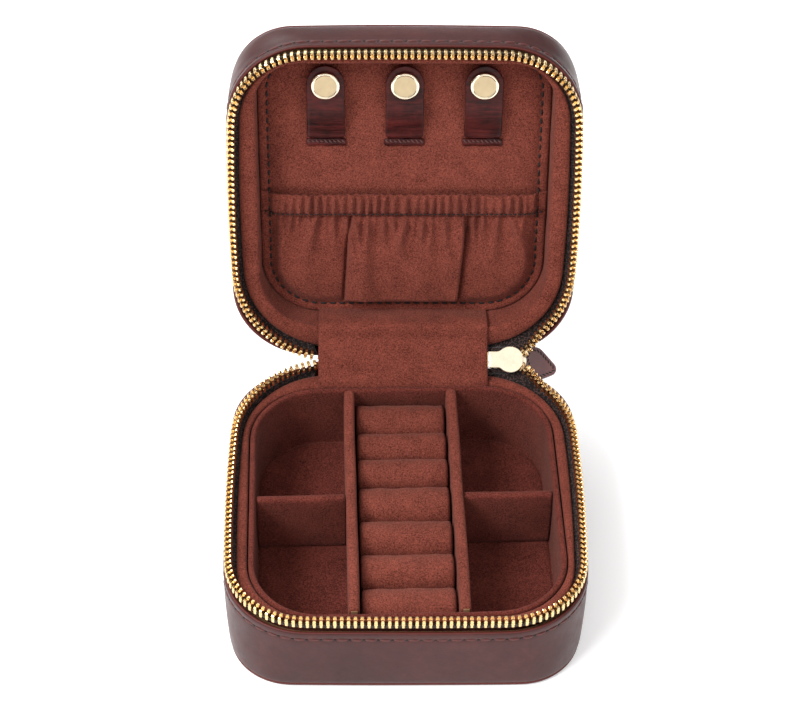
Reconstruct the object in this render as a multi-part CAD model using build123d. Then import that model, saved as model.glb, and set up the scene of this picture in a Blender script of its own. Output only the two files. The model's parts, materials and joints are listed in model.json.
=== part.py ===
from build123d import *
from math import cos, radians, sin
import os

# Small square leather jewellery case, lid standing open.  Millimetres, +Z up.
# Origin: centre of the base's underside.  +X right, -Y front, hinge along the back (+Y).

# ---- driving dimensions ----
case_width = 100.0        # over the leather walls, at the middle of the bowed sides
case_depth = 100.0
case_height = 46.5        # closed
side_bow = 2.0            # how far the left and right walls bow out between the corners
end_bow = 0.6             # the same for the front and back walls
corner_radius = 23.0
zip_back_radius = 30.0    # the zip rounds the two back corners more gently than the leather
lining_back_radius = 26.0
zip_height = 27.5         # middle of the closed zip
zip_gap = 8.4             # between the two leather edges when closed
leather = 1.1
board = 1.6
tape = 0.5
lid_open = 102.0          # degrees, held by the flap
slack = 0.1               # clearance between layers

tray_centre_y = -1.8
tray_turn = 1.4           # the tray sits a little turned in the base
tray_half_x = 41.6
tray_half_y = 41.2
tray_radius = 18.0
tray_wall = 1.8
tray_rim = 24.2           # height of the tray's top edge
floor_top = 3.4

divider_x = 14.9          # middle of each long divider
divider_thickness = 3.1
divider_core = 1.7
divider_top = 25.0
cross_thickness = 2.6
cross_top = 23.3
cross_y = 1.0             # from the tray's centre
roll_widths = (13.0, 11.6, 12.4, 12.6, 10.2, 10.2, 11.8)   # front to back
roll_crest = 21.8
roll_bed_top = 9.4

lid_recess_half_x = 41.2
lid_recess_front = -44.6
lid_recess_back = 39.3
lid_recess_radius = 17.5   # at the hinge side
lid_recess_front_radius = 12.0
panel_depth = 12.5        # from the zip's middle up to the padded panel
rim_drop = 3.0            # from the zip's middle to each lining rim

tooth_pitch = 1.8
tooth_length = 0.72       # along the tape
tooth_depth = 2.0         # through the tape
tooth_height = 2.6
tooth_overlap = 0.6       # past the zip's middle
teeth_start_x = 36.9      # right-hand end, just past the slider
teeth_end_x = -26.0

flap_half = 24.8
strap_pitch = 22.0
strap_width = 10.6
strap_thickness = 1.3
strap_tip_y = -41.4
strap_foot_y = -18.3
strap_foot_length = 3.1
snap_y = -35.7
snap_cap_radius = 4.05

slider_x = 31.4           # centre of the slider's round head
slider_radius = 3.9       # of the plate inside the case
slider_outer_radius = 3.5
slider_wing_x = 33.6      # the outer plate reaches a little further round the teeth
slider_wing_radius = 2.9
slider_neck = 4.9
slider_waist = 2.1
slider_tail_corner = 0.4
slider_tail_x = 25.2
slider_half_gap = 1.35    # from the middle of the slider to the inside of each plate
slider_plate = 0.8
pull_bar_x = 30.0
pull_bar_depth = 2.95     # behind the middle of the slider
pull_wire = 0.4
pull_ring_half = 1.1
pull_ring_length = 6.6
pull_hang = 20.0          # degrees the ring and tab swing out to rest against the corner
pull_thickness = 1.85
pull_lobes = ((39.6, 1.0, 3.6), (44.3, -2.0, 2.2), (41.0, -3.7, 2.2))   # x, y and radius of each corner
zip_stop_x = (23.1, 25.1)
zip_tail_end_x = 14.0

# ---- places worked out from them ----
zip_inset = leather + slack / 2 + tape / 2
zip_y = case_depth / 2 - zip_inset
base_edge = zip_height - zip_gap / 2
lid_edge = zip_height + zip_gap / 2
panel_z = zip_height + panel_depth
hinge = Axis((0, zip_y, zip_height), (-1, 0, 0))
half_open = Plane(origin=(0, zip_y, zip_height), x_dir=(1, 0, 0),
                  z_dir=Vector(0, -1, 0).rotate(Axis.X, -lid_open / 2))
bottom_board_top = 2.5
lid_board_bottom = case_height - leather - slack - board

nodes = {}


def outline(inset, front_radius=None, back_radius=None):
    """The case's rounded square with bowed sides, moved inwards by inset."""
    half_x = case_width / 2 - inset
    half_y = case_depth / 2 - inset
    x = half_x - side_bow
    y = half_y - end_bow
    sides = [
        ThreePointArc((-x, -y), (0, -half_y), (x, -y)),
        ThreePointArc((x, -y), (half_x, 0), (x, y)),
        ThreePointArc((x, y), (0, half_y), (-x, y)),
        ThreePointArc((-x, y), (-half_x, 0), (-x, -y)),
    ]
    face = make_face(sides)
    front = front_radius or corner_radius - inset
    back = back_radius or corner_radius - inset
    face = fillet(face.vertices().sort_by(Axis.Y)[:2], front)
    back_corners = [v for v in face.vertices() if v.Y > half_y * 0.8 and abs(v.X) > half_x * 0.8]
    return fillet(back_corners, back)


def tray_outline(grow):
    """The tray's inner outline, grown outwards, in its slightly turned place."""
    face = RectangleRounded(2 * (tray_half_x + grow), 2 * (tray_half_y + grow), tray_radius + grow)
    return Pos(0, tray_centre_y) * Rot(0, 0, tray_turn) * face


def recess_outline(grow):
    """The lid's recess, as drawn with the lid closed."""
    depth = lid_recess_back - lid_recess_front
    middle = (lid_recess_back + lid_recess_front) / 2
    face = Pos(0, middle) * Rectangle(2 * (lid_recess_half_x + grow), depth + 2 * grow)
    face = fillet(face.vertices().sort_by(Axis.Y)[:2], lid_recess_front_radius + grow)
    return fillet(face.vertices().sort_by(Axis.Y)[-2:], lid_recess_radius + grow)


def raised(face, low, high):
    return extrude(Pos(0, 0, low) * face, high - low)


def ring(outer, inner, low, high):
    return raised(outer, low, high) - raised(inner, low, high)


def opened(shape):
    """Swings a piece drawn with the lid closed to where it stands open."""
    return shape.rotate(hinge, lid_open)


def opened_point(y, z):
    """The same swing for a point in the YZ plane."""
    turn = radians(lid_open)
    back, up = y - zip_y, z - zip_height
    return (zip_y + back * cos(turn) + up * sin(turn), zip_height - back * sin(turn) + up * cos(turn))


def block(low, high):
    size = [high[i] - low[i] for i in range(3)]
    centre = [(high[i] + low[i]) / 2 for i in range(3)]
    return Pos(*centre) * Box(*size)


def strip(points, thickness, half_width, bend=1.0):
    """A sheet of even thickness along points in the YZ plane, as wide as half_width each side."""
    path = FilletPolyline(*[(0, y, z) for y, z in points], radius=bend)
    start = Plane(origin=path @ 0, x_dir=(1, 0, 0), z_dir=path % 0)
    return sweep(start * Rectangle(2 * half_width, thickness), path=path)


# ---- leather shell ----
def make_shells():
    nodes["base_bottom_leather"] = raised(outline(0), 0, leather)
    nodes["base_wall_leather"] = ring(outline(0), outline(leather), leather + slack / 2, base_edge)
    nodes["base_bottom_board"] = raised(outline(leather + slack), leather + slack, bottom_board_top)
    board_inset = leather + tape + 2 * slack
    low = bottom_board_top + slack
    nodes["base_wall_board"] = ring(outline(board_inset), outline(board_inset + board),
                                    low, base_edge - 2.9)
    lining_inset = board_inset + board + slack
    nodes["base_rim_lining"] = ring(outline(lining_inset, back_radius=lining_back_radius),
                                    tray_outline(tray_wall + 2 * slack),
                                    low, zip_height - rim_drop)

    top = case_height - leather
    nodes["lid_top_leather"] = opened(raised(outline(0), top, case_height))
    nodes["lid_wall_leather"] = opened(ring(outline(0), outline(leather), lid_edge, top - slack / 2))
    nodes["lid_top_board"] = opened(raised(outline(leather + slack), lid_board_bottom, top - slack))
    high = lid_board_bottom - slack
    nodes["lid_wall_board"] = opened(ring(outline(board_inset), outline(board_inset + board),
                                          lid_edge + 2.9, high))
    nodes["lid_rim_lining"] = opened(ring(outline(lining_inset, back_radius=lining_back_radius),
                                          recess_outline(0), zip_height + rim_drop, high))
    nodes["lid_panel_pad"] = opened(raised(recess_outline(-2 * slack), panel_z, high))


# ---- insert: tray, dividers and ring rolls ----
def in_tray(shape):
    return Pos(0, tray_centre_y) * Rot(0, 0, tray_turn) * shape


def make_tray():
    low = bottom_board_top + slack
    nodes["tray_wall"] = ring(tray_outline(tray_wall), tray_outline(0), low, tray_rim)
    nodes["tray_floor_pad"] = raised(tray_outline(-slack), low, floor_top)
    half_length = tray_half_y - slack
    half = divider_thickness / 2
    for side, name in ((-1, "left"), (1, "right")):
        x = side * divider_x
        wrap = block((x - half, -half_length, floor_top + slack), (x + half, half_length, divider_top))
        wrap = fillet(wrap.edges().filter_by(Axis.Y).group_by(Axis.Z)[-1], half * 0.8)
        core = block((x - divider_core / 2, -half_length, floor_top + 1.0),
                     (x + divider_core / 2, half_length - 1.5, divider_top - 1.2))
        tip = block((x - divider_core / 2, -half_length, divider_top - 2.6),
                    (x + divider_core / 2, -half_length + 1.5, divider_top - 0.6))
        core += tip
        nodes[f"divider_{name}"] = in_tray(wrap - core)
        nodes[f"divider_core_{name}"] = in_tray(core)

        inner = divider_x + half + 2 * slack
        outer = tray_half_x - 0.5
        cross_low = floor_top + slack
        cross = block((inner, cross_y - cross_thickness / 2, cross_low),
                      (outer, cross_y + cross_thickness / 2, cross_top))
        cross = fillet(cross.edges().filter_by(Axis.X).group_by(Axis.Z)[-1], 0.9)
        if side < 0:
            cross = cross.mirror(Plane.YZ)
        nodes[f"cross_divider_{name}"] = in_tray(cross)


def make_ring_rolls():
    half_x = divider_x - divider_thickness / 2 - 3 * slack
    bed = block((-half_x, -tray_half_y + 3 * slack, floor_top + slack),
                (half_x, tray_half_y - 3 * slack, roll_bed_top))
    nodes["ring_roll_bed"] = in_tray(bed)
    front = -sum(roll_widths) / 2
    for i, width in enumerate(roll_widths):
        y = front + width / 2
        front += width
        radius = width / 2 - slack
        foot = block((-half_x, y - radius, roll_bed_top + slack), (half_x, y + radius, roll_crest - radius))
        crown = Pos(0, y, roll_crest - radius) * Rot(0, 90, 0) * Cylinder(radius, 2 * half_x)
        room = block((-half_x, y - radius, roll_bed_top + slack), (half_x, y + radius, roll_crest))
        nodes[f"ring_roll_{i + 1}"] = in_tray((foot + crown) & room)


# ---- zip ----
def zip_places(shift, height):
    """Evenly spaced places round the whole zip line, shifted by a part of one tooth pitch."""
    line = outline(zip_inset, back_radius=zip_back_radius).face().outer_wire()
    count = 2 * round(line.length / tooth_pitch / 2)
    steps = [(i + shift) / count for i in range(count)]
    lift = Vector(0, 0, height)
    return [Plane(origin=(line @ t) + lift, x_dir=line % t, z_dir=(0, 0, 1)) for t in steps]


def in_hinge_gap(place):
    return place.origin.Y > 0 and teeth_end_x < place.origin.X < teeth_start_x


def make_tooth_row(name, shift, low, high):
    places = zip_places(shift, (low + high) / 2)
    tooth = Box(tooth_length, tooth_depth, high - low)
    row = Compound(children=[place * tooth for place in places if not in_hinge_gap(place)])
    gap = [place for place in places if in_hinge_gap(place)]
    last = min(gap, key=lambda place: place.origin.X)
    stop = last * Pos(0, 0, (1 if name == "lid" else -1) * 0.5) * Box(1.3, tooth_depth, high - low - 1.6)
    if name == "lid":
        row = opened(row)
        stop = opened(stop)
    nodes[f"{name}_zip_teeth"] = row
    nodes[f"{name}_zip_end_stop"] = stop


def zip_tape(edge, top):
    """Tape that rises from inside the leather edge and leans in to the teeth at the back corners."""
    up = 1 if top > edge else -1
    shells = []
    for half in (-tape / 2, tape / 2):
        inset = zip_inset + half
        foot = Pos(0, 0, edge - up * 2.6) * outline(inset)
        head = Pos(0, 0, top) * outline(inset, back_radius=zip_back_radius - half)
        shells.append(loft([foot, head], ruled=True))
    low, high = sorted((edge, top + up))
    return shells[0] - shells[1] - block((-23.5, 0, low), (teeth_start_x - 1.0, case_depth, high))


def make_zip():
    reach = tooth_height - tooth_overlap
    make_tooth_row("base", 0.25, zip_height - reach, zip_height + tooth_overlap)
    make_tooth_row("lid", 0.75, zip_height - tooth_overlap, zip_height + reach)
    nodes["base_zip_tape"] = zip_tape(base_edge, zip_height - reach - slack)
    nodes["lid_zip_tape"] = opened(zip_tape(lid_edge, zip_height + reach + slack))


# ---- slider, drawn flat: X along the zip, +Z towards the inside of the case ----
def in_slider(shape):
    return half_open * shape


def slider_plate_outline(radius):
    """A square-ended tail that waists smoothly into a round head."""
    head = Pos(slider_x, 0) * Circle(radius)
    tail = Pos((slider_tail_x + slider_x) / 2, 0) * Rectangle(slider_x - slider_tail_x, slider_neck)
    plate = head + tail
    by_x = plate.vertices().sort_by(Axis.X)
    plate = fillet(by_x[2:4], slider_waist)
    return fillet(plate.vertices().sort_by(Axis.X)[:2], slider_tail_corner)


def make_slider():
    inner = slider_half_gap
    outer = inner + slider_plate
    body = raised(slider_plate_outline(slider_radius), inner, outer)
    wings = make_hull((slider_plate_outline(slider_outer_radius)
                       + Pos(slider_wing_x, 0) * Circle(slider_wing_radius)).edges())
    body += raised(wings, -outer, -inner)
    body += raised(Pos(slider_x + 2.2, 0) * Ellipse(1.3, 0.8), -inner, inner)
    flange_length = slider_x - 3 - slider_tail_x
    for side in (-1, 1):
        flange = Pos(slider_tail_x + flange_length / 2, side * (slider_neck / 2 - 0.25))
        body += raised(flange * Rectangle(flange_length - 0.8, 0.5), -inner, inner)
    nodes["zip_slider_body"] = in_slider(body)

    bail = block((28.4, -0.7, -4.3), (34.0, 0.7, -outer))
    bail -= block((29.2, -1, -3.6), (33.2, 1, -outer + 1))
    nodes["zip_slider_bail"] = in_slider(bail)


def make_pull():
    """A wire ring through the bail and a leather tab on the ring, hanging against the outside."""
    hang = Axis((pull_bar_x, 0, -pull_bar_depth), (0, 1, 0))
    bar = Pos(pull_bar_x, 0, -pull_bar_depth) * Rot(90, 0, 0)
    link = bar * Cylinder(pull_wire, 2 * pull_ring_half)
    link += Pos(pull_ring_length, 0, 0) * bar * Cylinder(pull_wire, 2 * pull_ring_half)
    for side in (-1, 1):
        arm = Pos(pull_bar_x + pull_ring_length / 2, side * pull_ring_half, -pull_bar_depth)
        link += arm * Rot(0, 90, 0) * Cylinder(pull_wire, pull_ring_length + 2 * pull_wire)
    nodes["zip_pull_ring"] = in_slider(link.rotate(hang, pull_hang))

    lobes = Sketch() + [Pos(x, y) * Circle(radius) for x, y, radius in pull_lobes]
    tab = raised(make_hull(lobes.edges()), -pull_bar_depth - pull_thickness / 2, -pull_bar_depth + pull_thickness / 2)
    room = pull_wire + slack
    tab -= block((pull_bar_x, -pull_ring_half - room, -pull_bar_depth - room),
                 (pull_bar_x + pull_ring_length + room, pull_ring_half + room, -pull_bar_depth + room))
    nodes["zip_pull_tab"] = in_slider(tab.rotate(hang, pull_hang))


def make_zip_end():
    start, end = zip_stop_x
    stop = block((start, -2.2, -1.0), (end, 2.2, 1.0))
    tape_end = block((zip_tail_end_x, -2.6, -0.3), (start - slack, 2.6, 0.3))
    nodes["zip_bottom_stop"] = in_slider(stop)
    nodes["zip_tape_end"] = in_slider(tape_end)


# ---- hinge: outside leather and inside flap, as they lie with the lid open ----
def make_hinge():
    wall_y = case_depth / 2 - leather / 2
    y, z = opened_point(wall_y, lid_edge - slack)
    nodes["hinge_spine_leather"] = strip([(wall_y, base_edge + slack), (wall_y + 0.1, base_edge + 3.0),
                                          (y, z)], leather, flap_half, 1.5)
    rim_y, rim_z = opened_point(lid_recess_back, zip_height + rim_drop)
    end_y, end_z = opened_point(lid_recess_back, panel_z - 1.2)
    nodes["hinge_flap"] = strip([(41.6, 25.3), (rim_y - 1.3, rim_z - 2.6), (rim_y - 0.72, rim_z + 0.78),
                                 (end_y, end_z + 0.65)], 1.0, flap_half, 0.9)


# ---- lid fittings, drawn with the lid closed ----
def make_pocket():
    half_x = 39.8
    front, back = -0.8, 37.3
    hem_back = 5.9
    cloth = 1.1
    low, high = panel_z - 2.4, panel_z - slack
    pocket = block((-half_x, front, low), (half_x, back, high))
    corners = pocket.edges().filter_by(Axis.Z).sort_by(Axis.Y)[-2:]
    pocket = fillet(corners, lid_recess_radius - 2.0)
    pocket -= block((-half_x + cloth, front - 1, low + cloth), (half_x - cloth, back - 12, high + 1))
    hem = block((-half_x, front, low - 0.7), (half_x, hem_back, low - slack / 2))
    nodes["lid_pocket"] = opened(pocket)
    nodes["lid_pocket_hem"] = opened(hem)


def make_straps():
    foot_z = panel_z - slack - strap_thickness / 2
    flat_z = panel_z - 3.0
    feet = []
    for i in range(3):
        place = Pos((i - 1) * strap_pitch, 0, 0)
        line = [(strap_foot_y - slack, foot_z), (strap_foot_y - 1.6, foot_z),
                (strap_foot_y - 8.6, flat_z), (strap_tip_y, flat_z)]
        strap = strip(line, strap_thickness, strap_width / 2, 1.5)
        tip = Pos(0, strap_tip_y + strap_width / 2) * Circle(strap_width / 2)
        tip += Pos(0, (strap_tip_y + strap_width / 2 + 5) / 2) * Rectangle(
            strap_width, 5 - strap_tip_y - strap_width / 2)
        strap &= raised(tip, flat_z - 5, panel_z)
        under = flat_z + strap_thickness / 2
        over = flat_z - strap_thickness / 2
        centre = Pos(0, snap_y)
        socket = raised(centre * Circle(3.7), under + slack / 2, under + 1.25)
        socket -= raised(centre * Circle(1.8), under, under + 2)
        stud = raised(centre * Circle(3.4), panel_z - 0.7, panel_z - slack / 2)
        stud += raised(centre * Circle(1.55), under + 0.35, panel_z - 0.7)
        cap = raised(centre * Circle(snap_cap_radius), over - 1.05, over - slack / 2)
        cap = fillet(cap.edges().group_by(Axis.Z)[0], 0.35)
        foot = block((-strap_width / 2 - 0.5, strap_foot_y, foot_z - strap_thickness / 2),
                     (strap_width / 2 + 0.5, strap_foot_y + strap_foot_length, panel_z - slack / 2))
        nodes[f"snap_strap_{i + 1}"] = opened(place * strap)
        nodes[f"snap_socket_{i + 1}"] = opened(place * socket)
        nodes[f"snap_cap_{i + 1}"] = opened(place * cap)
        nodes[f"snap_stud_{i + 1}"] = opened(place * stud)
        feet.append(opened(place * foot))
    nodes["strap_feet"] = Compound(children=feet)


make_shells()
make_tray()
make_ring_rolls()
make_zip()
make_slider()
make_pull()
make_zip_end()
make_hinge()
make_pocket()
make_straps()

os.makedirs("parts", exist_ok=True)
for name, shape in nodes.items():
    export_step(shape, f"parts/{name}.step")
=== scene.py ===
import json
import math

import bmesh
import bpy
import numpy as np
from mathutils import Matrix, Vector


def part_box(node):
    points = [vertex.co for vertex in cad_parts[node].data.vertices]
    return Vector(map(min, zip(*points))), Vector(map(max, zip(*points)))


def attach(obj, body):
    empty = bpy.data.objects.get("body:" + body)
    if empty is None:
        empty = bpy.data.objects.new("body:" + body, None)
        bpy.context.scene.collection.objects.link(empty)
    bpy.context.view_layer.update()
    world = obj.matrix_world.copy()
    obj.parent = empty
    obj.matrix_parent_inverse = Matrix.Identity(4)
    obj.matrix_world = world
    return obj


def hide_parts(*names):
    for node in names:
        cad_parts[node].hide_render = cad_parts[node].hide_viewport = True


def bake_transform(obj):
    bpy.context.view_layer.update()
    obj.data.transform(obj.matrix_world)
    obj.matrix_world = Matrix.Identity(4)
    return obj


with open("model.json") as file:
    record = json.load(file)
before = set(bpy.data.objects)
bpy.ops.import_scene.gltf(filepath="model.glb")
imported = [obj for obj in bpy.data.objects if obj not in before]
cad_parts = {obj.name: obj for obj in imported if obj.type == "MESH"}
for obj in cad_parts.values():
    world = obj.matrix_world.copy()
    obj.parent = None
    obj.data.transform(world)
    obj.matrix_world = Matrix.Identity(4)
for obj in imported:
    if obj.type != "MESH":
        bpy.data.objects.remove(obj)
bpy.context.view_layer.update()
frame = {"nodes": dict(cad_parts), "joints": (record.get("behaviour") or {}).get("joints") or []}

# Lengths in this script are millimetres; mesh_piece turns them into metres.
MM = 0.001

# ---------- sizes, read from the frame
def box(node):
    low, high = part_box(node)
    return np.array(low) / MM, np.array(high) / MM


joints = {joint["name"]: joint for joint in frame["joints"]}
HINGE_Y, HINGE_Z = (value / MM for value in joints["lid_hinge"]["pos_m"][1:])
OPEN = -math.radians(joints["lid_hinge"]["range_deg"][0])
HINGE = np.array([0, HINGE_Y, HINGE_Z])
HALF_X, HALF_Y, BASE_EDGE = box("base_wall_leather")[1]
LID_EDGE = 2 * HINGE_Z - BASE_EDGE
RIM = box("base_rim_lining")[1][2]
TRAY_LOW, TRAY_HIGH = box("tray_wall")
TRAY_RIM = TRAY_HIGH[2]
TRAY_Y = (TRAY_LOW[1] + TRAY_HIGH[1]) / 2
FLOOR = box("tray_floor_pad")[1][2]
CLOSED_TOP = 46.5
PANEL_Z = HINGE_Z + 12.5

SIDE_BOW = 2.0
END_BOW = 0.6
CORNER = 23.0
ZIP_BACK = 30.0
LINING_BACK = 26.0
LEATHER = 1.1
LINING_INSET = 3.5
ZIP_INSET = HALF_Y - HINGE_Y
TRAY_TURN = math.radians(1.4)
TRAY_HALF = (41.6, 41.2)
TRAY_RADIUS = 18.0
TRAY_WALL = 1.8
RECESS_HALF_X = 41.2
RECESS_FRONT, RECESS_BACK = -44.6, 39.3
RECESS_RADIUS = 17.5
RECESS_FRONT_RADIUS = 12.0
TOOTH_PITCH = 1.8
FLAP_HALF = 24.8
SLIDER_X = 31.4
BAIL_X, BAIL_Z = 30.0, -2.95
PULL_HANG = math.radians(20.0)


# ---------- placing
def opened(points):
    """Swings points drawn with the lid closed to where the lid stands open."""
    p = np.array(points, float)
    back, up = p[..., 1] - HINGE_Y, p[..., 2] - HINGE_Z
    p[..., 1] = HINGE_Y + back * math.cos(OPEN) + up * math.sin(OPEN)
    p[..., 2] = HINGE_Z - back * math.sin(OPEN) + up * math.cos(OPEN)
    return p


def mirrored(points):
    """Base to closed lid: the same shape on the other side of the zip."""
    p = np.array(points, float)
    p[..., 2] = 2 * HINGE_Z - p[..., 2]
    return p


def in_tray(points):
    p = np.array(points, float)
    x, y = p[..., 0].copy(), p[..., 1].copy()
    p[..., 0] = x * math.cos(TRAY_TURN) - y * math.sin(TRAY_TURN)
    p[..., 1] = x * math.sin(TRAY_TURN) + y * math.cos(TRAY_TURN) + TRAY_Y
    return p


HALF_OPEN_N = np.array([0, -math.cos(OPEN / 2), math.sin(OPEN / 2)])
HALF_OPEN_D = np.array([0, math.sin(OPEN / 2), math.cos(OPEN / 2)])


def in_slider(points):
    """Slider drawing to place: x along the zip, y across it, z towards the inside of the case."""
    p = np.array(points, float)
    return HINGE + p[..., :1] * [1, 0, 0] + p[..., 1:2] * HALF_OPEN_D + p[..., 2:] * HALF_OPEN_N


# ---------- outlines
SIDE_STEPS, CORNER_STEPS = 12, 16


def arc(centre, radius, start, end, steps):
    angles = np.linspace(start, end, steps, endpoint=False)
    return [centre + radius * np.array([math.cos(a), math.sin(a)]) for a in angles]


def angle_of(vector):
    return math.atan2(vector[1], vector[0])


def bowed_quarter(half_x, half_y, radius):
    """From the middle of the back edge clockwise to the middle of the right edge."""
    x, y = half_x - SIDE_BOW, half_y - END_BOW
    side_r = (y * y + SIDE_BOW ** 2) / (2 * SIDE_BOW)
    end_r = (x * x + END_BOW ** 2) / (2 * END_BOW)
    side_c, end_c = np.array([half_x - side_r, 0.0]), np.array([0.0, half_y - end_r])
    a, b = end_r - radius, side_r - radius
    gap = side_c - end_c
    reach = np.hypot(*gap)
    along = (a * a - b * b + reach * reach) / (2 * reach)
    across = math.sqrt(a * a - along * along)
    unit = gap / reach
    centre = end_c + along * unit + across * np.array([-unit[1], unit[0]])
    if centre[0] < 0 or centre[1] < 0:
        centre = end_c + along * unit - across * np.array([-unit[1], unit[0]])
    top, right = angle_of(centre - end_c), angle_of(centre - side_c)
    return (arc(end_c, end_r, math.pi / 2, top, SIDE_STEPS)
            + arc(centre, radius, top, right, CORNER_STEPS)
            + arc(side_c, side_r, right, 0, SIDE_STEPS))


def straight_quarter(half_x, half_y, radius):
    start, end = np.array([0, half_y]), np.array([half_x - radius, half_y])
    top = [start + (end - start) * i / SIDE_STEPS for i in range(SIDE_STEPS)]
    centre = np.array([half_x - radius, half_y - radius])
    start, end = np.array([half_x, half_y - radius]), np.array([half_x, 0])
    side = [start + (end - start) * i / SIDE_STEPS for i in range(SIDE_STEPS)]
    return top + arc(centre, radius, math.pi / 2, 0, CORNER_STEPS) + side


def outline(inset, back_radius=None, corner=CORNER):
    """The case's rounded square with bowed sides, moved inwards by inset."""
    half_x, half_y = HALF_X - inset, HALF_Y - inset
    front = np.array(bowed_quarter(half_x, half_y, corner - inset))
    back = np.array(bowed_quarter(half_x, half_y, back_radius or corner - inset))
    return whole(back, front, half_x, half_y)


def whole(back, front, half_x, half_y):
    right = np.vstack([back, [[half_x, 0]], front[:0:-1] * [1, -1]])
    left = right[:0:-1] * [-1, 1]
    return np.vstack([right, [[0, -half_y]], left])


def rounded(half_x, half_y, radius, centre_y=0.0):
    quarter = np.array(straight_quarter(half_x, half_y, radius))
    return whole(quarter, quarter, half_x, half_y) + [0, centre_y]


def tray_outline(grow):
    flat = rounded(TRAY_HALF[0] + grow, TRAY_HALF[1] + grow, TRAY_RADIUS + grow)
    return in_tray(np.c_[flat, np.zeros(len(flat))])[:, :2]


def recess_outline(grow):
    half_x, half_y = RECESS_HALF_X + grow, (RECESS_BACK - RECESS_FRONT) / 2 + grow
    back = np.array(straight_quarter(half_x, half_y, RECESS_RADIUS + grow))
    front = np.array(straight_quarter(half_x, half_y, RECESS_FRONT_RADIUS + grow))
    return whole(back, front, half_x, half_y) + [0, (RECESS_BACK + RECESS_FRONT) / 2]


def level(flat, z):
    return np.c_[flat, np.full(len(flat), z)]


def closed_loop(path):
    return np.vstack([path, path[:1]])


def distances(path):
    """How far along the path each of its points lies."""
    return np.r_[0, np.cumsum(np.linalg.norm(np.diff(path, axis=0), axis=1))]


def at_distance(at, lengths, path):
    return np.stack([np.interp(at, lengths, path[:, i]) for i in range(path.shape[1])], axis=-1)


def unit(vectors):
    return vectors / np.linalg.norm(vectors, axis=-1, keepdims=True)


def unturned(points):
    return points


# ---------- meshes
def mesh_piece(name, points, faces, material, smooth=True, levels=0):
    mesh = bpy.data.meshes.new(name)
    mesh.from_pydata((np.array(points) * MM).tolist(), [], [list(face) for face in faces])
    mesh.validate()
    work = bmesh.new()
    work.from_mesh(mesh)
    bmesh.ops.recalc_face_normals(work, faces=work.faces)
    work.to_mesh(mesh)
    work.free()
    mesh.polygons.foreach_set("use_smooth", [smooth] * len(mesh.polygons))
    piece = bpy.data.objects.new(name, mesh)
    bpy.context.collection.objects.link(piece)
    mesh.materials.append(material)
    if levels:
        subdivide(piece, levels)
    return piece


def subdivide(piece, levels):
    modifier = piece.modifiers.new("subdivide", "SUBSURF")
    modifier.levels = modifier.render_levels = levels


def loft(rings, wrap_rings=False, cap_start=False, cap_end=False):
    """Points and quads over closed rings of equal count."""
    count, size = len(rings), len(rings[0])
    faces = []
    for i in range(count if wrap_rings else count - 1):
        a, b = i * size, ((i + 1) % count) * size
        faces += [(a + j, a + (j + 1) % size, b + (j + 1) % size, b + j) for j in range(size)]
    if cap_start:
        faces.append(tuple(range(size))[::-1])
    if cap_end:
        faces.append(tuple((count - 1) * size + j for j in range(size)))
    return np.vstack(rings), faces


def grid_faces(rows, columns):
    return [(r * columns + c, r * columns + c + 1, (r + 1) * columns + c + 1, (r + 1) * columns + c)
            for r in range(rows - 1) for c in range(columns - 1)]


def join(parts):
    """Several (points, faces) pairs as one."""
    points, faces, offset = [], [], 0
    for part_points, part_faces in parts:
        points.append(np.array(part_points))
        faces += [tuple(i + offset for i in face) for face in part_faces]
        offset += len(part_points)
    return np.vstack(points), faces


def slab(top, bottom):
    """A closed sheet between two grids of points, each rows x columns x 3."""
    rows, columns = top.shape[:2]
    size = rows * columns
    faces = grid_faces(rows, columns)
    faces += [tuple(i + size for i in face[::-1]) for face in grid_faces(rows, columns)]
    rim = [c for c in range(columns)] + [r * columns + columns - 1 for r in range(1, rows)]
    rim += [(rows - 1) * columns + c for c in range(columns - 2, -1, -1)]
    rim += [r * columns for r in range(rows - 2, 0, -1)]
    faces += [(rim[i], rim[(i + 1) % len(rim)], rim[(i + 1) % len(rim)] + size, rim[i] + size)
              for i in range(len(rim))]
    return np.vstack([top.reshape(-1, 3), bottom.reshape(-1, 3)]), faces


def smoothstep(value):
    value = np.clip(value, 0, 1)
    return value * value * (3 - 2 * value)


def wave_noise(points, wavelength, seed):
    """Smooth wobble between about -1 and 1 from a few sine waves in fixed random directions."""
    pick = np.random.default_rng(seed)
    total = np.zeros(np.array(points).shape[:-1])
    for _ in range(7):
        direction = pick.normal(size=3)
        direction *= 2 * math.pi / (wavelength * pick.uniform(0.6, 1.6) * np.linalg.norm(direction))
        total += np.sin(np.array(points) @ direction + pick.uniform(0, 6.3))
    return total / 3.5


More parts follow.
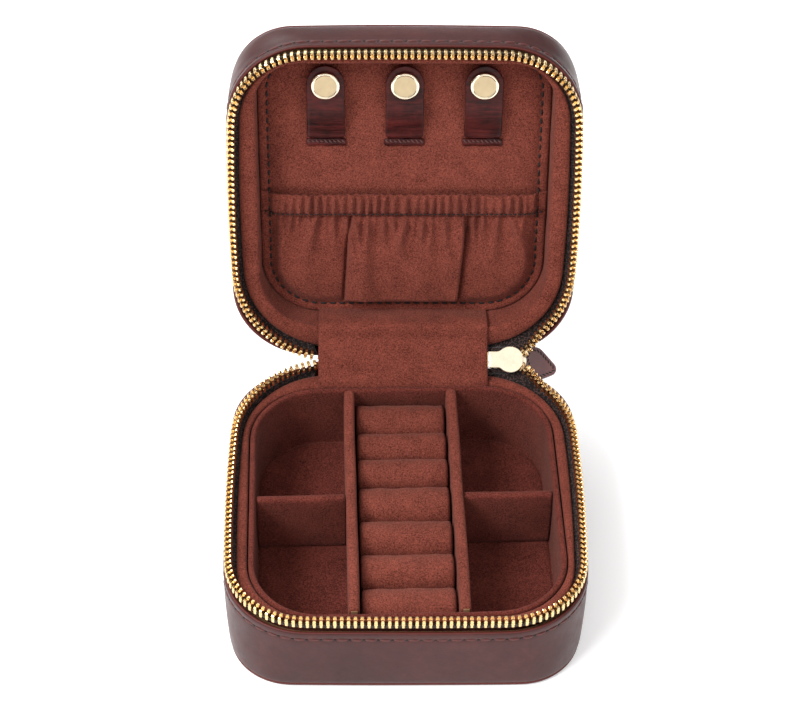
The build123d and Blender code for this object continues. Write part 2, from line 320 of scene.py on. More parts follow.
# ---------- materials
class Shader:
    """A node material built up in a few calls."""

    def __init__(self, name, **values):
        self.material = bpy.data.materials.new(name)
        self.material.use_nodes = True
        self.nodes = self.material.node_tree.nodes
        self.links = self.material.node_tree.links
        self.main = self.nodes["Principled BSDF"]
        for key, value in values.items():
            self.main.inputs[key.replace("_", " ")].default_value = value
        self.place = self.nodes.new("ShaderNodeTexCoord").outputs["Object"]

    def link(self, source, target):
        self.links.new(source, target)

    def scaled(self, scale):
        node = self.nodes.new("ShaderNodeMapping")
        node.inputs["Scale"].default_value = scale
        self.link(self.place, node.inputs["Vector"])
        return node.outputs["Vector"]

    def noise(self, scale, detail=3.0, rough=0.6, vector=None):
        node = self.nodes.new("ShaderNodeTexNoise")
        node.inputs["Scale"].default_value = scale
        node.inputs["Detail"].default_value = detail
        node.inputs["Roughness"].default_value = rough
        self.link(vector or self.place, node.inputs["Vector"])
        return node.outputs["Fac"]

    def cells(self, scale):
        node = self.nodes.new("ShaderNodeTexVoronoi")
        node.inputs["Scale"].default_value = scale
        self.link(self.place, node.inputs["Vector"])
        return node.outputs["Distance"]

    def ramp(self, source, *stops):
        """stops are (position, colour or grey)."""
        node = self.nodes.new("ShaderNodeValToRGB")
        ramp = node.color_ramp
        while len(ramp.elements) < len(stops):
            ramp.elements.new(0.5)
        for element, (position, colour) in zip(ramp.elements, stops):
            element.position = position
            grey = isinstance(colour, (int, float))
            element.color = (colour, colour, colour, 1) if grey else (*colour, 1)
        self.link(source, node.inputs["Fac"])
        return node.outputs["Color"]

    def math(self, operation, a, b):
        node = self.nodes.new("ShaderNodeMath")
        node.operation = operation
        for socket, value in zip(node.inputs, (a, b)):
            if isinstance(value, (int, float)):
                socket.default_value = value
            else:
                self.link(value, socket)
        return node.outputs["Value"]

    def bump(self, height, strength, distance, below=None):
        node = self.nodes.new("ShaderNodeBump")
        node.inputs["Strength"].default_value = strength
        node.inputs["Distance"].default_value = distance
        self.link(height, node.inputs["Height"])
        if below is not None:
            self.link(below, node.inputs["Normal"])
        return node.outputs["Normal"]

    def colour(self, source):
        self.link(source, self.main.inputs["Base Color"])

    def roughness(self, source):
        self.link(source, self.main.inputs["Roughness"])

    def normal(self, source):
        self.link(source, self.main.inputs["Normal"])


def suede(name, dark, light):
    s = Shader(name, Roughness=0.95, Sheen_Weight=0.1, Sheen_Roughness=0.5,
               Sheen_Tint=(1.0, 0.6, 0.5, 1), Specular_IOR_Level=0.12)
    grain = s.noise(2500, 2, 0.7)
    fibres = s.noise(5200, 2, 0.6)
    patches = s.noise(170, 2, 0.5)
    blend = s.math("ADD", s.math("MULTIPLY", grain, 0.55), s.math("MULTIPLY", fibres, 0.33))
    blend = s.math("ADD", blend, s.math("MULTIPLY", patches, 0.12))
    s.colour(s.ramp(blend, (0.38, dark), (0.62, light)))
    fine = s.bump(fibres, 0.4, 0.0003)
    s.normal(s.bump(grain, 0.45, 0.0005, below=fine))
    return s.material


def shell_leather(name, shine=0.25, coat=0.12, depth=1.0):
    s = Shader(name, Specular_IOR_Level=shine, Coat_Weight=coat, Coat_Roughness=0.2, Coat_IOR=1.45)
    tone = s.noise(45, 4, 0.6)
    mottle = s.noise(420, 3, 0.6)
    blend = s.math("ADD", s.math("MULTIPLY", tone, 0.7), s.math("MULTIPLY", mottle, 0.3))
    tones = ((0.036, 0.008, 0.008), (0.062, 0.014, 0.013), (0.11, 0.026, 0.022))
    # depth scales every tone of the leather; above 1 it lightens the colour as painted sheen.
    s.colour(s.ramp(blend, *zip((0.3, 0.55, 0.8), [tuple(c * depth for c in tone) for tone in tones])))
    s.roughness(s.ramp(s.noise(260, 3, 0.6), (0.3, 0.36), (0.75, 0.5)))
    pores = s.bump(s.cells(1500), 0.12, 0.0001)
    s.normal(s.bump(s.noise(380, 4, 0.6), 0.10, 0.0004, below=pores))
    return s.material


def strap_leather(name):
    s = Shader(name, Specular_IOR_Level=0.18, Coat_Weight=0.08, Coat_Roughness=0.25, Coat_IOR=1.45)
    lines = s.noise(1100, 3, 0.65, vector=s.scaled((0.1, 1, 1)))
    tone = s.noise(120, 3, 0.6)
    blend = s.math("ADD", s.math("MULTIPLY", lines, 0.5), s.math("MULTIPLY", tone, 0.5))
    s.colour(s.ramp(blend, (0.4, (0.016, 0.002, 0.002)), (0.64, (0.095, 0.012, 0.010))))
    s.roughness(s.ramp(lines, (0.3, 0.34), (0.7, 0.5)))
    s.normal(s.bump(lines, 0.6, 0.0003))
    return s.material


def metal(name, colour, rough, wear=0.06):
    s = Shader(name, Metallic=1.0)
    s.colour(s.ramp(s.noise(500, 2, 0.5), (0.3, tuple(c * 0.9 for c in colour)), (0.7, colour)))
    s.roughness(s.ramp(s.noise(900, 3, 0.6), (0.3, rough), (0.8, rough + wear)))
    s.normal(s.bump(s.noise(300, 2, 0.5), 0.04, 0.0002))
    return s.material


def woven(name, dark, light):
    s = Shader(name, Roughness=0.85, Sheen_Weight=0.2, Specular_IOR_Level=0.3)
    weave = s.math("MULTIPLY", s.cells(1900), 1.4)
    # Near black is the tape's own colour; the lighter middle of each weave cell is a painted highlight.
    s.colour(s.ramp(weave, (0.2, light), (0.75, dark)))
    s.normal(s.bump(weave, 0.5, 0.0003))
    return s.material


def thread(name, colour):
    s = Shader(name, Roughness=0.55, Specular_IOR_Level=0.4)
    twist = s.noise(4200, 2, 0.5, vector=s.scaled((1, 1, 0.5)))
    s.colour(s.ramp(twist, (0.3, tuple(c * 0.6 for c in colour)), (0.7, colour)))
    s.normal(s.bump(twist, 0.4, 0.0001))
    return s.material


def paperboard(name):
    s = Shader(name, Roughness=0.9, Specular_IOR_Level=0.2)
    fibres = s.noise(1800, 4, 0.7, vector=s.scaled((1, 0.2, 1)))
    s.colour(s.ramp(fibres, (0.3, (0.17, 0.09, 0.045)), (0.7, (0.33, 0.19, 0.1))))
    s.normal(s.bump(fibres, 0.3, 0.0002))
    return s.material


SUEDE = suede("rust_suede", (0.060, 0.013, 0.009), (0.30, 0.073, 0.049))
ROLL_SUEDE = suede("roll_suede", (0.060, 0.013, 0.009), (0.29, 0.073, 0.049))
# A darker copy of the rust suede: painted shade for the deep tray walls, tray floor and cross dividers.
PAINTED_SHADE_SUEDE = suede("tray_suede_painted_shade", (0.040, 0.008, 0.006), (0.215, 0.048, 0.034))
LEATHER_MAT = shell_leather("oxblood_leather")
# The pull tab: the oxblood leather made 2.2 times lighter, painted sheen for its grey reflection, with strong
# gloss and coat.
TAB_MAT = shell_leather("tab_leather", 0.8, 1.0, 2.2)
STRAP_MAT = strap_leather("burgundy_leather")
EDGE_MAT = thread("burnished_edge", (0.14, 0.022, 0.016))
GOLD = metal("pale_gold", (0.94, 0.82, 0.62), 0.15)
SATIN_GOLD = metal("satin_gold", (0.54, 0.42, 0.26), 0.28)
BRASS = metal("zip_brass", (0.95, 0.67, 0.33), 0.19)
GLOSS_THREAD = thread("waxed_thread", (0.12, 0.05, 0.045))
# Zip tape: near black, with painted highlights on the weave.
TAPE = woven("zip_tape_weave", (0.005, 0.002, 0.002), (0.10, 0.052, 0.044))
RED_THREAD = thread("oxblood_thread", (0.13, 0.035, 0.03))
# Black thread for the stitching on the suede and the pull tab; the same material gives the painted shade in
# the stitch holes of the leather shell.
BLACK_THREAD_AND_HOLE_SHADE = thread("black_thread_and_hole_shade", (0.012, 0.009, 0.009))
BOARD = paperboard("greyboard")
# Near-black suede for the roll bed, which shows only in the gaps between the rolls: painted shadow.
PAINTED_SHADOW_FOAM = suede("foam_shadow", (0.02, 0.012, 0.011), (0.05, 0.026, 0.022))


def finish_piece(piece, body, slot, *replaced):
    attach(piece, body)
    if replaced:
        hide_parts(*replaced)


# ---------- leather shell
def wall_profile(edge, flat_z, cap_z):
    """(inset, height) from the inside of the top edge down the outside; edge is up, flat_z is down."""
    up = 1 if edge > flat_z else -1
    height = abs(edge - flat_z)
    steps = [(1.1, -3.0), (1.1, -0.5), (1.02, -0.16), (0.8, 0.0), (0.5, 0.02), (0.2, -0.12), (0.03, -0.42),
             (-0.03, -1.0), (-0.02, -1.7), (0.05, -2.15), (0.2, -2.45), (0.2, -2.75), (0.05, -3.05),
             (-0.05, -3.6), (-0.1, -5.5)]
    profile = [(inset, edge + up * drop) for inset, drop in steps]
    for share, swell in ((0.45, 0.18), (0.62, 0.2), (0.78, 0.12)):
        profile.append((-swell, edge - up * height * share))
    for inset, rise in ((0.0, 1.6), (0.1, 0.95), (0.26, 0.5), (0.46, 0.22), (0.6, 0.1)):
        profile.append((inset, flat_z + up * rise))
    for inset, rise in ((0.34, -0.02), (0.26, -0.3), (0.34, -0.8), (1.2, -1.0)):
        profile.append((inset, flat_z + up * rise))
    profile += [(inset, cap_z) for inset in (3.5, 10, 22, 34)]
    return profile


def shrink(flat, share):
    centre = flat.mean(axis=0)
    return centre + (flat - centre) * share


def make_leather(body, edge, flat_z, cap_z, place, *nodes):
    rings = []
    for inset, z in wall_profile(edge, flat_z, cap_z):
        down = smoothstep((abs(z - edge) - 3.0) / (abs(flat_z - edge) - 3.0))
        corner = CORNER - 5.0 * down
        flat = outline(min(inset, 12), corner=corner)
        if inset >= 12:
            flat = shrink(flat, (50 - inset) / 38)
        flat = flat * [1 - 0.013 * down, 1 - 0.004 * down]
        ring = level(flat, z)
        outward = unit(flat)
        wobble = 0.10 * wave_noise(ring, 38, 3) * (inset < 1)
        ring[:, :2] += outward * wobble[:, None]
        rings.append(place(ring))
    points, faces = loft(rings, cap_end=True)
    piece = mesh_piece(f"{body}_leather", points, faces, LEATHER_MAT, levels=1)
    piece.data.materials.append(EDGE_MAT)
    size = len(rings[0])
    for polygon in piece.data.polygons:
        ring_index = min(polygon.vertices) // size
        if ring_index < 5 or 22 <= ring_index <= 23:
            polygon.material_index = 1
    finish_piece(piece, body, "shell_leather", *nodes)


def make_shells():
    base_flat = box("base_bottom_leather")[1][2]
    make_leather("base", BASE_EDGE, base_flat, 0.0, unturned, "base_wall_leather", "base_bottom_leather")
    make_leather("lid", LID_EDGE, CLOSED_TOP - LEATHER, CLOSED_TOP, opened, "lid_wall_leather",
                 "lid_top_leather")


# ---------- linings
def make_rim_lining(body, inner, crest, floor_z, place):
    """A suede roll round the rim, then the wall inside it."""
    outer = outline(LINING_INSET, LINING_BACK)
    up = 1 if crest > floor_z else -1
    arch = [(0.0, 3.2), (0.0, 1.1), (0.05, 0.5), (0.17, 0.14), (0.38, 0.0), (0.62, 0.02), (0.82, 0.2),
            (0.95, 0.62), (1.0, 1.2)]
    rings = []
    for share, drop in arch:
        ring = level(outer * (1 - share) + inner * share, crest - up * drop)
        ring[:, 2] += up * 0.08 * wave_noise(ring, 16, 5) * (drop < 1)
        rings.append(place(ring))
    depth = abs(crest - floor_z)
    towards = unit(inner - outer)
    for share, lean in ((0.2, -0.35), (0.35, -0.1), (0.6, 0.1), (0.85, 0.05), (1.0, -0.1)):
        ring = level(inner + towards * lean, crest - up * max(depth * share, 1.8))
        ring[:, :2] += towards * 0.12 * wave_noise(ring, 14, 6)[:, None]
        rings.append(place(ring))
    points, faces = loft(rings)
    piece = mesh_piece(f"{body}_rim_lining_suede", points, faces, SUEDE, levels=1)
    finish_piece(piece, body, "lining_suede", f"{body}_rim_lining")


def make_tray():
    inner, outer = tray_outline(0), tray_outline(TRAY_WALL)
    rings = []
    rim = [(1.0, -14.0), (1.0, -0.9), (0.93, -0.35), (0.75, -0.06), (0.5, 0.03), (0.25, -0.06), (0.07, -0.35),
           (0.0, -0.9), (-0.06, -2.2)]
    for share, rise in rim:
        ring = level(inner * (1 - share) + outer * share, TRAY_RIM + rise)
        ring[:, 2] += 0.09 * wave_noise(ring, 13, 8) * (rise > -1)
        rings.append(ring)
    wall = [(17, 0.05), (12, 0.1), (7, 0.05), (4.3, 0.0)]
    seam = [(3.1, -0.02), (2.9, -0.2), (3.15, -0.5), (3.38, -0.9), (3.42, -1.8)]
    for z, grow in wall + seam:
        ring = level(tray_outline(grow), z)
        ring[:, 2] += 0.06 * wave_noise(ring, 12, 9)
        rings.append(ring)
    base_flat = tray_outline(-3)
    for share in (1.0, 0.72, 0.4, 0.12):
        ring = level(shrink(base_flat, share), FLOOR)
        ring[:, 2] += 0.1 * wave_noise(ring, 17, 10)
        rings.append(ring)
    points, faces = loft(rings, cap_end=True)
    # The tray walls and floor take the darker suede, painted shade for the deep compartments.
    piece = mesh_piece("tray_suede_painted_shade", points, faces, PAINTED_SHADE_SUEDE, levels=1)
    finish_piece(piece, "base", "lining_suede", "tray_wall", "tray_floor_pad")


def soft_bar(length, width, low, high, seed, crown=0.9, rows=40):
    """An upright suede-covered board along Y: rounded top edge, square foot."""
    half = width / 2
    left = [(-half, low), (-half, low + 0.3), (-half, (low + high) / 2), (-half, high - 1.3),
            (-half * 0.93, high - 0.62), (-half * 0.68, high - 0.16), (-half * 0.25, high)]
    section = left + [(-x, z) for x, z in left[::-1]]
    rings = []
    places = [0, 0.25 / length, *np.linspace(0, 1, rows + 1)[1:-1], 1 - 0.25 / length, 1]
    for i, share in enumerate(places):
        y = length * (share - 0.5)
        ring = np.array([(x, y, z) for x, z in section])
        ring[:, 0] += 0.10 * wave_noise(ring, 22, seed)
        ring[:, 2] += 0.10 * wave_noise(ring, 15, seed + 1) * (ring[:, 2] > low + 1)
        if i in (0, len(places) - 1):
            ring[:, 0] *= 0.97
            ring[:, 2] -= 0.05 * (ring[:, 2] > low + 1)
        rings.append(ring)
    return loft(rings, cap_start=True, cap_end=True)


def make_dividers():
    for i, name in enumerate(("left", "right")):
        low, high = box(f"divider_{name}")
        x = (1 if i else -1) * 14.9
        points, faces = soft_bar(2 * TRAY_HALF[1] - 0.5, 3.1, low[2], high[2], 20 + i)
        points = in_tray(points + [x, 0, 0])
        piece = mesh_piece(f"divider_{name}_suede", points, faces, SUEDE, levels=1)
        finish_piece(piece, "base", "lining_suede", f"divider_{name}")

        low, high = box(f"cross_divider_{name}")
        points, faces = soft_bar(24.95, 2.6, low[2], high[2], 30 + i, rows=16)
        points = np.c_[points[:, 1], -points[:, 0], points[:, 2]]
        centre_x = (1 if i else -1) * 28.87
        points = in_tray(points + [centre_x, 1.0, 0])
        # The cross dividers take the darker suede, painted shade down in the compartments.
        piece = mesh_piece(f"cross_divider_{name}_suede", points, faces, PAINTED_SHADE_SUEDE, levels=1)
        finish_piece(piece, f"cross_divider_{name}", "lining_suede", f"cross_divider_{name}")


# ---------- ring rolls
def roll_shape(half_x, radius, low, crest, seed):
    """A suede roll lying along X: round top, flat foot, soft closed ends."""
    count, spans = 28, 30
    rings = []
    centre_z = crest - radius
    for i in range(spans + 1):
        s = 2 * i / spans - 1
        end = max(0.0, abs(s) - 0.955) / 0.045
        squeeze = math.sqrt(max(0.0, 1 - 0.22 * end ** 2))
        x = half_x * s
        ring = []
        for j in range(count):
            a = 2 * math.pi * j / count
            y, z = math.cos(a) * radius, math.sin(a) * radius
            if z < 0:
                y = math.copysign(min(radius, abs(math.cos(a)) ** 0.35 * radius), math.cos(a))
                z = max(z * (centre_z - low) / radius, low - centre_z)
            ring.append((x, y * (0.35 + 0.65 * squeeze), centre_z + z * squeeze))
        ring = np.array(ring)
        outward = unit(ring - [x, 0, centre_z])
        ring += outward * (0.16 * wave_noise(ring + [0, seed * 40, 0], 9, seed)
                           + 0.10 * wave_noise(ring + [0, seed * 9, 0], 4, seed + 50))[:, None]
        rings.append(ring)
    return loft(rings, cap_start=True, cap_end=True)


def make_rolls():
    low, high = box("ring_roll_bed")
    bed_points, bed_faces = soft_bar(2 * TRAY_HALF[1] - 0.6, 26.1, low[2], high[2], 61)
    # The roll bed is near black, painted shadow in the gaps between the rolls.
    bed = mesh_piece("roll_bed_foam", in_tray(bed_points), bed_faces, PAINTED_SHADOW_FOAM)
    finish_piece(bed, "base", "roll_suede", "ring_roll_bed")
    index = 1
    while f"ring_roll_{index}" in frame["nodes"]:
        low, high = box(f"ring_roll_{index}")
        middle = (low[1] + high[1]) / 2 - TRAY_Y
        radius = (high[1] - low[1] - 26.7 * math.sin(TRAY_TURN)) / 2 / math.cos(TRAY_TURN)
        points, faces = roll_shape(13.0, radius + 0.12, low[2], high[2], 70 + index)
        points = in_tray(points + [0, middle, 0])
        piece = mesh_piece(f"ring_roll_{index}_suede", points, faces, ROLL_SUEDE, levels=1)
        finish_piece(piece, "base", "roll_suede", f"ring_roll_{index}")
        index += 1


# ---------- stitches
def capsule(start, end, up, width, height, sides=8):
    """One stitch: a flattened thread with rounded, sunk ends."""
    start, end, up = (np.array(v, float) for v in (start, end, up))
    length = np.linalg.norm(end - start)
    along = (end - start) / length
    across = unit(np.cross(along, up))
    up = np.cross(across, along)
    rings = []
    for t, size, rise in ((0.0, 0.25, -0.7), (0.06, 0.72, -0.25), (0.22, 0.98, 0.0), (0.5, 1.0, 0.12),
                          (0.78, 0.98, 0.0), (0.94, 0.72, -0.25), (1.0, 0.25, -0.7)):
        centre = start + along * length * t + up * rise * height
        ring = [centre + across * math.cos(a) * width / 2 * size + up * math.sin(a) * height / 2 * size
                for a in (2 * math.pi * k / sides for k in range(sides))]
        rings.append(np.array(ring))
    return loft(rings, cap_start=True, cap_end=True)


def resample(path, pitch, closed=False, phase=0.5):
    """Points evenly spaced along a path, with the unit direction at each."""
    path = closed_loop(path) if closed else np.array(path, float)
    lengths = distances(path)
    count = max(1, round(lengths[-1] / pitch))
    at = (np.arange(count) + phase) * lengths[-1] / count
    points, ahead, behind = (at_distance(at + step, lengths, path) for step in (0, 0.3, -0.3))
    return points, unit(ahead - behind)


def stitch_row(path, ups, pitch, length, width, height, closed=False, slant=0.0, phase=0.5):
    """ups is one direction, or one for each path point."""
    points, directions = resample(path, pitch, closed, phase)
    if np.array(ups).ndim == 1:
        found = [np.array(ups, float)] * len(points)
    else:
        source = np.array(path)
        found = [np.array(ups)[np.argmin(((source - p) ** 2).sum(axis=1))] for p in points]
    parts = []
    for point, direction, up in zip(points, directions, found):
        side = np.cross(direction, up) * slant
        half = (direction + side) * length / 2
        parts.append(capsule(point - half, point + half, up, width, height))
    return join(parts)


def make_shell_stitching():
    """The thread line just under each leather edge, with a black capsule at each end of a stitch as painted
    shade in the stitch hole.
    """
    flat = outline(0.16)
    flat = flat[~((flat[:, 1] > 0) & (abs(flat[:, 0]) < FLAP_HALF))]
    outward = unit(level(flat, 0))
    for body, height, place in (("base", BASE_EDGE - 2.6, unturned), ("lid", LID_EDGE + 2.6, opened)):
        path = place(level(flat, height))
        ups = place(outward + HINGE) - place(HINGE)
        points, faces = stitch_row(path, ups, 3.8, 3.25, 0.75, 0.6)
        piece = mesh_piece(f"{body}_stitching", points, faces, RED_THREAD)
        finish_piece(piece, body, "shell_leather")
        # Black capsules between the stitches: painted shade in the stitch holes.
        points, faces = stitch_row(path, ups, 3.8, 0.75, 0.6, 0.42, phase=0.0)
        piece = mesh_piece(f"{body}_stitch_holes", points, faces, BLACK_THREAD_AND_HOLE_SHADE)
        finish_piece(piece, body, "shell_leather")


# ---------- zip
def zip_path():
    """The zip line from the slider's side of the hinge clockwise to the flap's left edge."""
    loop = closed_loop(outline(ZIP_INSET, ZIP_BACK))
    lengths = distances(loop)
    dense = at_distance(np.arange(0, lengths[-1], 0.3), lengths, loop)
    keep = ~((dense[:, 1] > 0) & (dense[:, 0] < 24.2) & (dense[:, 0] > -25.2))
    return dense[keep]


def base_zip_curve(drop):
    """Base half of the zip line in 3D, drop below the zip's middle; it lifts into the slider's mouth."""
    flat = zip_path()
    curve = level(flat, HINGE_Z - drop)
    near = (flat[:, 1] > 0) & (flat[:, 0] > 0)
    share = smoothstep((40.5 - flat[:, 0]) / 7.0) * near
    lane = 0.9 + drop
    goal = np.c_[flat[:, 0], np.full(len(flat), HINGE_Y - lane * HALF_OPEN_D[1]),
                 np.full(len(flat), HINGE_Z - lane * HALF_OPEN_D[2])]
    return curve * (1 - share[:, None]) + goal * share[:, None]


# Right half of a tooth seen along the zip: leg, shoulder and scoop, as (outward, up).
TOOTH_HALF = [(0.35, -1.2), (0.45, -2.0), (1.1, -2.0), (1.15, -1.0), (0.95, -0.55), (1.12, -0.1),
              (1.05, 0.35), (0.75, 0.62), (0.4, 0.5), (0.2, 0.1)]
TOOTH_SECTION = TOOTH_HALF + [(0.0, -0.1)] + [(-x, y) for x, y in TOOTH_HALF[::-1]]


def tooth(centre, along, up):
    outward = np.cross(along, up)
    section = np.array(TOOTH_SECTION)
    middle = np.array([0, -0.6])
    rings = []
    for step, size in ((-0.48, 0.74), (-0.43, 0.88), (-0.3, 0.98), (0.3, 0.98), (0.43, 0.88), (0.48, 0.74)):
        shape = middle + (section - middle) * size
        rings.append(centre + step * along + shape[:, :1] * outward + shape[:, 1:] * up)
    return loft(rings, cap_start=True, cap_end=True)


def teeth_places(shift):
    middle = base_zip_curve(0.7)
    root = base_zip_curve(2.4)
    lengths = distances(middle)
    first, later = np.interp((31.5, 34.0), middle[:60, 0], lengths[:60])
    if shift:
        first += math.ceil((later - first) / TOOTH_PITCH) * TOOTH_PITCH
    at = np.arange(first + shift * TOOTH_PITCH, lengths[-1] - 0.5, TOOTH_PITCH)
    places = []
    for s in at:
        sample = [at_distance(s + step, lengths, middle) for step in (-0.4, 0, 0.4)]
        foot = at_distance(s, lengths, root)
        along = unit(sample[2] - sample[0])
        up = sample[1] - foot
        up = unit(up - along * (up @ along))
        places.append((sample[1] + up * 0.7, along, up))
    return places


def make_teeth():
    for name, shift, body in (("base", 0.0, "base"), ("lid", 0.5, "lid")):
        parts = [tooth(*place) for place in teeth_places(shift)]
        points, faces = join(parts)
        if name == "lid":
            points = opened(mirrored(points))
        piece = mesh_piece(f"{name}_teeth", points, faces, BRASS, smooth=False)
        finish_piece(piece, body, "zip_brass", f"{name}_zip_teeth")


def nearest_on(flat, outline_flat):
    """For each point the closest place on an outline, smoothed along the row."""
    found = np.array([outline_flat[np.argmin(((outline_flat - point) ** 2).sum(axis=1))] for point in flat])
    padded = np.pad(found, ((7, 7), (0, 0)), mode="edge")
    return np.stack([np.convolve(column, np.ones(15) / 15, "valid") for column in padded.T], axis=1)


def make_tape():
    flat = zip_path()
    top = base_zip_curve(1.5)
    middle = base_zip_curve(2.6)
    wall = level(nearest_on(flat, outline(LEATHER + 0.45)), BASE_EDGE - 0.5)
    inner = level(nearest_on(flat, outline(LINING_INSET - 0.6, LINING_BACK)), BASE_EDGE - 0.3)
    tuck = level(nearest_on(flat, outline(LINING_INSET + 0.9, LINING_BACK)), BASE_EDGE - 0.9)
    rows = [top, middle, (middle + inner) / 2 * 0.75 + wall * 0.25, inner, tuck]
    fine = []
    for a, b in zip(rows, rows[1:]):
        fine += [a * (1 - t) + b * t for t in (0, 0.33, 0.66)]
    fine = np.array(fine + [rows[-1]])
    fine[1:-1] = (fine[:-2] + fine[1:-1] * 2 + fine[2:]) / 4
    along = np.gradient(fine, axis=1)
    down = np.gradient(fine, axis=0)
    out = unit(np.cross(along, down))
    ridge = 0.05 * np.cos(np.arange(fine.shape[1]) * 2 * math.pi / 3.0)[None, :, None]
    for name, body in (("base", "base"), ("lid", "lid")):
        points, faces = slab(fine + out * (0.2 + ridge), fine - out * 0.2)
        if name == "lid":
            points = opened(mirrored(points))
        piece = mesh_piece(f"{name}_tape", points, faces, TAPE)
        finish_piece(piece, body, "zip_tape", f"{name}_zip_tape")


# ---------- flap and spine across the hinge
def strip_sheet(path, half_width, thickness, rows, columns, wrinkle, seed):
    """A sheet along a YZ path, extruded across X, with soft cross wrinkles."""
    path = np.array(path, float)
    lengths = distances(path)
    line = at_distance(np.linspace(0, lengths[-1], rows), lengths, path)
    for _ in range(3):
        line[1:-1] = (line[:-2] + 2 * line[1:-1] + line[2:]) / 4
    tangent = unit(np.gradient(line, axis=0))
    normal = np.stack([-tangent[:, 1], tangent[:, 0]], axis=1)
    xs = np.linspace(-half_width, half_width, columns)
    top = np.zeros((rows, columns, 3))
    bottom = np.zeros((rows, columns, 3))
    for r in range(rows):
        for c, x in enumerate(xs):
            edge = max(0.0, abs(x) - half_width + 0.5) / 0.5
            half = thickness / 2 * math.sqrt(max(0.0, 1 - 0.8 * edge ** 2))
            wave = wrinkle * float(wave_noise(np.array([x * 0.35, line[r, 0], line[r, 1]]), 6, seed))
            for grid, offset in ((top, half), (bottom, -half)):
                grid[r, c] = (x, *(line[r] + normal[r] * (offset + wave)))
    return slab(top, bottom), line, lengths[-1]


def make_flap():
    rim_y, rim_z = opened([0, RECESS_BACK, 2 * HINGE_Z - RIM])[1:]
    deep_y, deep_z = opened([0, RECESS_BACK, PANEL_Z + 1.5])[1:]
    path = [(41.3, 22.4), (41.5, 24.6), (42.3, 25.75), (rim_y - 1.2, rim_z - 2.7),
            (rim_y - 0.85, rim_z - 0.6), (rim_y - 0.1, rim_z + 0.75), (rim_y + 1.6, rim_z + 0.75),
            (deep_y, deep_z + 0.65)]
    (points, faces), line, length = strip_sheet(path, FLAP_HALF, 0.9, 46, 40, 0.16, 91)
    piece = mesh_piece("hinge_flap_suede", points, faces, SUEDE, levels=1)
    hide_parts("hinge_flap")
    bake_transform(piece)
    make_flap_stitching(line)


def make_flap_stitching(line):
    """Two short black stitch runs where the flap meets the panel."""
    parts = []
    heights = np.linspace(len(line) - 13, len(line) - 4, 10).astype(int)
    for x in (-22.0, 22.1):
        path = np.array([(x, *line[i]) for i in heights]) + [0, -1.15, 0.4]
        parts.append(stitch_row(path, (0, -1, 0.1), 1.9, 1.4, 0.6, 0.5))
    points, faces = join(parts)
    piece = mesh_piece("flap_stitching", points, faces, BLACK_THREAD_AND_HOLE_SHADE)
    finish_piece(piece, "lid", "lining_suede")


def make_spine():
    y = HALF_Y - LEATHER / 2
    edge = opened([0, y, LID_EDGE + 1.5])
    near = opened([0, y, LID_EDGE - 0.6])
    path = [(y, BASE_EDGE - 1.5), (y + 0.02, BASE_EDGE + 0.6), (y + 0.25, BASE_EDGE + 2.2),
            (y + 1.3, BASE_EDGE + 2.95), (near[1], near[2]), (edge[1], edge[2])]
    (points, faces), _, _ = strip_sheet(path, FLAP_HALF, 1.05, 26, 24, 0.05, 95)
    piece = mesh_piece("hinge_spine", points, faces, LEATHER_MAT, levels=1)
    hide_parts("hinge_spine_leather")
    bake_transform(piece)


# ---------- lid panel and pocket
PANEL_EDGE = [(0.0, -2.6), (0.0, -0.8), (0.25, -0.25), (0.8, 0.02), (1.5, 0.0), (2.1, -0.2), (2.5, -0.5),
              (3.0, -0.5), (3.6, -0.15), (5.0, 0.2), (8.0, 0.4)]


def panel_height(inset):
    """How far the padded panel stands proud, by distance in from its edge."""
    insets, heights = zip(*PANEL_EDGE)
    return np.interp(inset, insets, heights)


def make_panel():
    rings = []
    for inset, rise in PANEL_EDGE:
        ring = level(recess_outline(-inset), PANEL_Z - rise)
        ring[:, 2] += 0.08 * wave_noise(ring, 11, 40)
        rings.append(opened(ring))
    flat = recess_outline(-8.0)
    for share in (0.75, 0.45, 0.15):
        ring = level(shrink(flat, share), PANEL_Z - 0.45)
        ring[:, 2] += 0.12 * wave_noise(ring, 14, 41)
        rings.append(opened(ring))
    points, faces = loft(rings, cap_end=True)
    piece = mesh_piece("lid_panel_suede", points, faces, SUEDE, levels=1)
    finish_piece(piece, "lid", "lining_suede", "lid_panel_pad")


def recess_inset(x, y):
    """Distance in from the recess outline, and zero outside it."""
    half_y = (RECESS_BACK - RECESS_FRONT) / 2
    from_middle = y - (RECESS_BACK + RECESS_FRONT) / 2
    radius = np.where(from_middle > 0, RECESS_RADIUS, RECESS_FRONT_RADIUS)
    dx = np.abs(x) - (RECESS_HALF_X - radius)
    dy = np.abs(from_middle) - (half_y - radius)
    outside = np.hypot(np.maximum(dx, 0), np.maximum(dy, 0)) + np.minimum(np.maximum(dx, dy), 0)
    return np.maximum(radius - outside, 0)


HEM_TOP, HEM_SEAM = -0.9, 5.7
PLEATS = (-15.4, 18.2)


